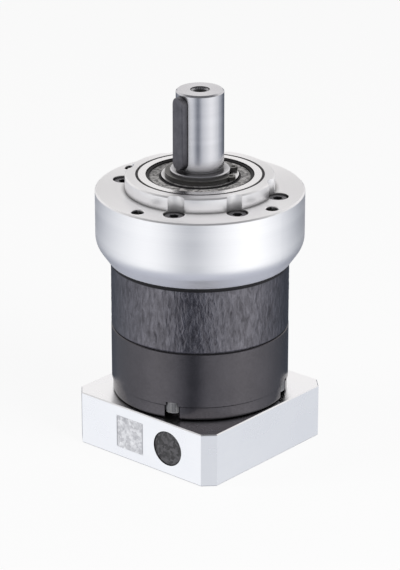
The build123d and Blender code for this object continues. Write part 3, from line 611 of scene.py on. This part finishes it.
def beadTree():
    tree, start, end = geometryTree("beadTree", ["Radius", "Height", "Wide", "Tall"], [])
    path = addNode(tree, "GeometryNodeCurvePrimitiveCircle", Resolution=beadSteps["path"])
    plug(tree, start["Radius"], path.inputs["Radius"])
    section = addNode(tree, "GeometryNodeCurvePrimitiveCircle", Resolution=beadSteps["section"], Radius=1.0)
    size = addNode(tree, "ShaderNodeCombineXYZ", X=calc(tree, "MULTIPLY", start["Wide"], 0.5),
                   Y=calc(tree, "MULTIPLY", start["Tall"], 0.5), Z=1.0)
    pressed = addNode(tree, "GeometryNodeTransform", Geometry=section.outputs[0])
    plug(tree, size.outputs[0], pressed.inputs["Scale"])
    swept = addNode(tree, "GeometryNodeCurveToMesh", Curve=path.outputs[0])
    plug(tree, pressed.outputs[0], swept.inputs["Profile Curve"])
    place = addNode(tree, "ShaderNodeCombineXYZ", Z=start["Height"])
    lifted = addNode(tree, "GeometryNodeTransform", Geometry=swept.outputs[0])
    plug(tree, place.outputs[0], lifted.inputs["Translation"])
    closeTree(tree, lifted.outputs[0], start["Finish"], end)
    return tree


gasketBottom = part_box("flange_gasket")[0].z
beadPlaces = {
    "flange_joint_shade": {"Radius": 29.8 * mm, "Wide": 1.0 * mm, "Tall": 1.6 * mm,
                     "Height": gasketBottom - 0.2 * mm},
    "bearing_joint_shade": {"Radius": 21.1 * mm, "Wide": 1.0 * mm, "Tall": 0.2 * mm,
                      "Height": pilotTop - 0.04 * mm},
    "seal_rim_shade": {"Radius": 17.55 * mm, "Wide": 1.3 * mm, "Tall": 0.7 * mm,
                 "Height": pilotTop - 0.62 * mm},
    "seal_lip_shade": {"Radius": 13.3 * mm, "Wide": 0.7 * mm, "Tall": 0.3 * mm,
                 "Height": pilotTop - 0.75 * mm},
}
beads = beadTree()
for name, place in beadPlaces.items():
    grow(name, beads, place, "joint_shade", "housing")


# Helpers for pieces that are made corner by corner

def sewRings(mesh, rings):
    # Joins each ring of corners to the next one, and the last to the first.
    for first, second in zip(rings, rings[1:] + rings[:1]):
        for i in range(len(first)):
            j = (i + 1) % len(first)
            mesh.faces.new((first[i], first[j], second[j], second[i]))
    bmesh.ops.recalc_face_normals(mesh, faces=mesh.faces)


def placePiece(name, mesh, looks, body):
    data = bpy.data.meshes.new(name)
    mesh.to_mesh(data)
    mesh.free()
    piece = bpy.data.objects.new(name, data)
    bpy.context.scene.collection.objects.link(piece)
    for finish in looks:
        data.materials.append(finish)
    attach(piece, body)
    print("piece:", name, len(data.polygons), "faces")


# Dark sheet of painted shade in the shaft's centre hole: the countersink and the hole down to its thread, in
# millimetres

holeShade = {"mouth": 3.19, "bore": 2.07, "countersink": 1.12, "depth": 12.8, "wall": 0.05, "steps": 64}


def centreHoleShade(look):
    inner = [(look["mouth"], 0.0), (look["bore"], -look["countersink"]), (look["bore"], -look["depth"])]
    outer = [(radius + look["wall"], height) for radius, height in reversed(inner)]
    mesh = bmesh.new()
    rings = []
    for radius, height in inner + outer:
        ring = []
        for step in range(look["steps"]):
            angle = 2 * math.pi * step / look["steps"]
            x, y = radius * math.cos(angle), radius * math.sin(angle)
            ring.append(mesh.verts.new((x * mm, y * mm, shaftTop + height * mm)))
        rings.append(ring)
    sewRings(mesh, rings)
    return mesh


placePiece("centre_hole_shade", centreHoleShade(holeShade), [materials["thread_shade"]], "output")


# Thin dark line of painted shadow where the key stands in its slot, in millimetres and degrees

keyLine = {"angle": -98.0, "halfWidth": 2.5, "line": 0.2, "overlap": 0.05, "shaftRadius": 8.0,
           "proud": 0.03, "sunk": 0.15, "ends": 14}


def keySeatLine(look):
    low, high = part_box("shaft_key")
    bottom, top = low.z / mm + look["halfWidth"], high.z / mm - look["halfWidth"]
    outline = []
    for middle, start in ((top, 0.0), (bottom, math.pi)):
        for step in range(look["ends"] + 1):
            angle = start + math.pi * step / look["ends"]
            outline.append((middle, math.cos(angle), math.sin(angle)))
    turn = math.radians(look["angle"])
    mesh = bmesh.new()
    rings = []
    for reach, height in ((-look["overlap"], look["proud"]), (look["line"], look["proud"]),
                          (look["line"], -look["sunk"]), (-look["overlap"], -look["sunk"])):
        corners = []
        for middle, across, along in outline:
            side = (look["halfWidth"] + reach) * across
            level = middle + (look["halfWidth"] + reach) * along
            depth = math.sqrt((look["shaftRadius"] + height) ** 2 - side ** 2)
            x = depth * math.cos(turn) - side * math.sin(turn)
            y = depth * math.sin(turn) + side * math.cos(turn)
            corners.append(mesh.verts.new((x * mm, y * mm, level * mm)))
        rings.append(corners)
    sewRings(mesh, rings)
    return mesh


placePiece("key_shadow_line", keySeatLine(keyLine), [materials["joint_shade"]], "output")


# Frosted pad on the plate's front, where a mark would be etched, left blank, in millimetres

padLook = {"left": -10.8, "right": 1.0, "low": 3.5, "high": 15.1, "frame": 0.45, "proud": 0.02, "sunk": 0.05}


def frostedPad(look):
    front = plateLow.y
    mesh = bmesh.new()
    inLeft, inRight = look["left"] + look["frame"], look["right"] - look["frame"]
    inLow, inHigh = look["low"] + look["frame"], look["high"] - look["frame"]
    # The field comes first, then the lower and upper bars of the frame, then its left and right bars.
    boxes = [(inLeft, inRight, inLow, inHigh, look["proud"] / 2, 0)]
    for z in (look["low"], inHigh):
        boxes.append((look["left"], look["right"], z, z + look["frame"], look["proud"], 1))
    for x in (look["left"], inRight):
        boxes.append((x, x + look["frame"], inLow, inHigh, look["proud"], 1))
    for left, right, low, high, proud, index in boxes:
        corners = [mesh.verts.new((x * mm, front + y * mm, z * mm))
                   for y in (look["sunk"], -proud) for x in (left, right) for z in (low, high)]
        bmesh.ops.convex_hull(mesh, input=corners)
        for face in mesh.faces[-6:]:
            face.material_index = index
    bmesh.ops.recalc_face_normals(mesh, faces=mesh.faces)
    return mesh


frostLook = {
    "surface": "speckle", "sizes": (0.0009, 0.0028), "low": (0.47, 0.47, 0.49), "high": (0.99, 0.99, 0.995),
    "metallic": 1.0, "roughness": (0.42, 0.6), "relief": 0.00002, "edge": (0.8, 0.8, 0.8), "wear": 0.2,
}
frameLook = {**frostLook, "low": (0.38, 0.38, 0.40), "high": (0.56, 0.56, 0.58)}
padFinishes = [makeFinish("frosted_aluminium", frostLook), makeFinish("frosted_frame", frameLook)]
placePiece("frosted_pad", frostedPad(padLook), padFinishes, "housing")


# Floor, world and lamps

studio = {
    "ambient": 0.35, "ceiling": (0.2, 0.2, 0.21), "sky": (0.99, 0.97, 0.96), "ground": (0.50, 0.52, 0.60),
    "groundLine": -0.54, "groundBlend": 3.5, "skyLine": -0.1, "skyBlend": 5.0, "ceilingLine": 0.62,
    "ceilingBlend": 6.0, "peak": 1.4, "tint": (1.11, 1.06, 0.96),
    "floorWhite": 0.9, "floorTone": 0.9, "floorHalf": 6.0, "floorDrop": 0.0002,
    # Turn from the camera's side in degrees, and how bright the room is there
    "sides": [
        (-172, 0.15), (-158, 0.15), (-146, 0.25), (-133, 0.45), (-116, 0.68), (-97, 0.90), (-83, 1.00),
        (-70, 1.17), (-58, 1.27), (-44, 1.14), (-30, 0.90), (-20, 0.50), (-11, 0.18), (-3, 0.28), (3, 0.60),
        (9, 0.92), (20, 0.98), (35, 1.17), (54, 1.36), (72, 1.22), (88, 0.98), (98, 0.85), (110, 0.62),
        (122, 0.42), (136, 0.23), (152, 0.13), (172, 0.15),
    ],
}
lamps = {
    "keyLamp": {"turn": 48, "elevation": 25, "size": (0.5, 0.7), "power": 6.0},
    "fillLamp": {"turn": -82, "elevation": 20, "size": (0.4, 0.7), "power": 3.0},
}
lampDistance = 0.9
lampTarget = 0.05
cameraSetup = {
    "azimuth": 40.8, "elevation": 21.69, "distance": 0.944, "targetHeight": 0.0557,
    "lens": 177.0, "sensor": 36.0, "clipEnd": 20.0,
}


def makeFloor(look):
    mesh = bpy.data.meshes.new("floor")
    half, level = look["floorHalf"], -look["floorDrop"]
    corners = [(x * half, y * half, level) for x, y in ((-1, -1), (1, -1), (1, 1), (-1, 1))]
    mesh.from_pydata(corners, [], [(0, 1, 2, 3)])
    floor = bpy.data.objects.new("floor", mesh)
    bpy.context.scene.collection.objects.link(floor)
    floor.visible_glossy = False
    material = bpy.data.materials.new("paleFloor")
    material.use_nodes = True
    tree = material.node_tree
    tree.nodes.clear()
    matte = addNode(tree, "ShaderNodeBsdfDiffuse", Color=(look["floorTone"],) * 3 + (1.0,))
    white = addNode(tree, "ShaderNodeEmission", Color=(1.0, 1.0, 1.0, 1.0), Strength=1.0)
    camera = addNode(tree, "ShaderNodeLightPath").outputs["Is Camera Ray"]
    seen = calc(tree, "MULTIPLY", camera, look["floorWhite"])
    both = addNode(tree, "ShaderNodeMixShader")
    plug(tree, seen, both.inputs[0])
    plug(tree, matte.outputs[0], both.inputs[1])
    plug(tree, white.outputs[0], both.inputs[2])
    plug(tree, both.outputs[0], addNode(tree, "ShaderNodeOutputMaterial").inputs[0])
    wear(floor, material)


def makeWorld(look):
    # White backdrop. Metal sees bright sides, a dark strip in front, a dark back and a dim ceiling.
    world = bpy.data.worlds.new("studio")
    bpy.context.scene.world = world
    world.use_nodes = True
    tree = world.node_tree
    tree.nodes.clear()
    direction = addNode(tree, "ShaderNodeTexCoord").outputs["Generated"]
    way = addNode(tree, "ShaderNodeSeparateXYZ", Vector=direction)
    angle = calc(tree, "ARCTAN2", way.outputs["Y"], way.outputs["X"])
    share = calc(tree, "MULTIPLY_ADD", angle, 0.5 / math.pi, 0.5)
    ramp = addNode(tree, "ShaderNodeValToRGB", Fac=share)
    ramp.color_ramp.interpolation = "EASE"
    stops = ramp.color_ramp.elements
    while len(stops) > 1:
        stops.remove(stops[-1])
    frontTurn = cameraSetup["azimuth"] - 90.0
    places = sorted((((frontTurn + turn + 180.0) % 360.0) / 360.0, tone) for turn, tone in look["sides"])
    # The two ends of the ramp meet where X is least and get one tone, so that no seam shows.
    past = (1.0 - places[-1][0]) / (1.0 - places[-1][0] + places[0][0])
    join = places[-1][1] + (places[0][1] - places[-1][1]) * past
    for number, (place, tone) in enumerate([(0.0, join)] + places + [(1.0, join)]):
        stop = stops[0] if number == 0 else stops.new(place)
        stop.position = place
        stop.color = tuple((tone / look["peak"]) ** power for power in look["tint"]) + (1.0,)
    bright = addNode(tree, "ShaderNodeVectorMath", {"operation": "SCALE"}, Scale=look["peak"])
    plug(tree, ramp.outputs[0], bright.inputs[0])
    below = calc(tree, "SUBTRACT", look["groundLine"], way.outputs["Z"])
    down = calc(tree, "MULTIPLY", below, look["groundBlend"], clamp=True)
    ground = mixColour(tree, down, bright.outputs[0], look["ground"])
    risen = calc(tree, "SUBTRACT", way.outputs["Z"], look["skyLine"])
    above = calc(tree, "MULTIPLY", risen, look["skyBlend"], clamp=True)
    horizon = mixColour(tree, above, ground, look["sky"])
    high = calc(tree, "SUBTRACT", way.outputs["Z"], look["ceilingLine"])
    up = calc(tree, "MULTIPLY", high, look["ceilingBlend"], clamp=True)
    sky = mixColour(tree, up, horizon, look["ceiling"])
    rays = addNode(tree, "ShaderNodeLightPath").outputs
    shiny = calc(tree, "MAXIMUM", rays["Is Glossy Ray"], rays["Is Transmission Ray"])
    soft = mixColour(tree, shiny, (look["ambient"],) * 3, sky)
    seen = mixColour(tree, rays["Is Camera Ray"], soft, (1.0, 1.0, 1.0))
    glow = addNode(tree, "ShaderNodeBackground", Color=seen, Strength=1.0)
    plug(tree, glow.outputs[0], addNode(tree, "ShaderNodeOutputWorld").inputs[0])


def aimAt(thing, height):
    # Turns a lamp or the camera to a point on the object's axis.
    bpy.context.view_layer.update()
    direction = thing.location.copy()
    direction.z -= height
    thing.rotation_euler = direction.to_track_quat("Z", "Y").to_euler()


def polar(turn, elevation, distance, height):
    # A place seen from the object: turn is measured from the camera's side, to the right as seen.
    azimuth = math.radians(cameraSetup["azimuth"] + turn)
    slope = math.radians(elevation)
    level = distance * math.cos(slope)
    return level * math.sin(azimuth), -level * math.cos(azimuth), height + distance * math.sin(slope)


def softLamp(name, look):
    lamp = bpy.data.objects.new(name, bpy.data.lights.new(name, "AREA"))
    lamp.data.shape = "RECTANGLE"
    lamp.data.size, lamp.data.size_y = look["size"]
    lamp.data.energy = look["power"]
    lamp.location = polar(look["turn"], look["elevation"], lampDistance, lampTarget)
    lamp.visible_glossy = False
    bpy.context.scene.collection.objects.link(lamp)
    aimAt(lamp, lampTarget)


makeFloor(studio)
makeWorld(studio)
for name, look in lamps.items():
    softLamp(name, look)
print("studio lit")


def makeCamera(look):
    data = bpy.data.cameras.new("camera")
    data.lens = look["lens"]
    data.sensor_width = look["sensor"]
    data.clip_end = look["clipEnd"]
    camera = bpy.data.objects.new("camera", data)
    bpy.context.scene.collection.objects.link(camera)
    camera.location = polar(0, look["elevation"], look["distance"], look["targetHeight"])
    aimAt(camera, look["targetHeight"])
    bpy.context.scene.camera = camera


makeCamera(cameraSetup)
bpy.context.scene.view_settings.view_transform = "Standard"
print("camera set")
